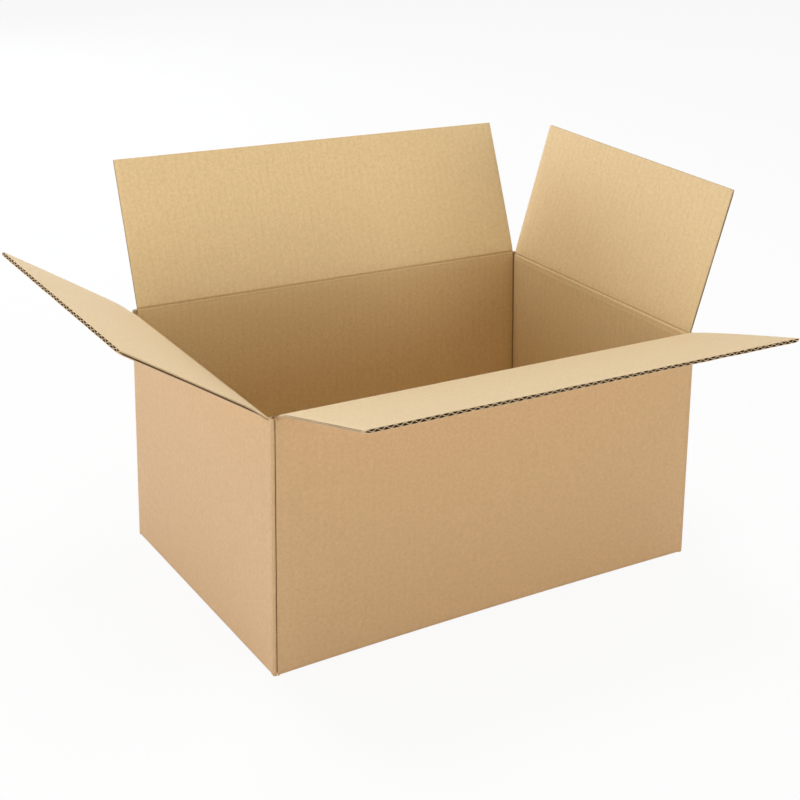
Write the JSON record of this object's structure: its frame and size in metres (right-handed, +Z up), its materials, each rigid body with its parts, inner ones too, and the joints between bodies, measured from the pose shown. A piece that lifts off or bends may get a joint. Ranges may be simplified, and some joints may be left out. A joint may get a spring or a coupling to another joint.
{
  "type": "open cardboard box",
  "caption": "Open shipping box of single-wall corrugated board, with its top flaps spread outward on their creases and its bottom flaps folded shut.",
  "frame": {"origin": "middle of the base, on the surface that the box stands on", "axes": "+X along the length, towards the right flap; +Y to the back; +Z up"},
  "size_m": [0.5899, 0.4816, 0.3638],
  "materials": {
    "kraft_board": "matte kraft paper"
  },
  "bodies": {
    "box": {"box_body": "kraft_board"},
    "front_flap": {"front_flap": "kraft_board"},
    "back_flap": {"back_flap": "kraft_board"},
    "left_flap": {"left_flap": "kraft_board"},
    "right_flap": {"right_flap": "kraft_board"}
  },
  "joints": [
    {"name": "front_flap_crease", "type": "hinge", "parent": "box", "child": "front_flap", "pos_m": [0, -0.1457, 0.23], "axis": [1, 0, 0], "range_deg": [-164.7, 101.8]},
    {"name": "back_flap_crease", "type": "hinge", "parent": "box", "child": "back_flap", "pos_m": [0, 0.1457, 0.23], "axis": [-1, 0, 0], "range_deg": [-112.4, 154.1]},
    {"name": "left_flap_crease", "type": "hinge", "parent": "box", "child": "left_flap", "pos_m": [-0.2157, 0, 0.2261], "axis": [0, -1, 0], "range_deg": [-149, 121]},
    {"name": "right_flap_crease", "type": "hinge", "parent": "box", "child": "right_flap", "pos_m": [0.2157, 0, 0.2261], "axis": [0, 1, 0], "range_deg": [-105.4, 159.6]}
  ]
}
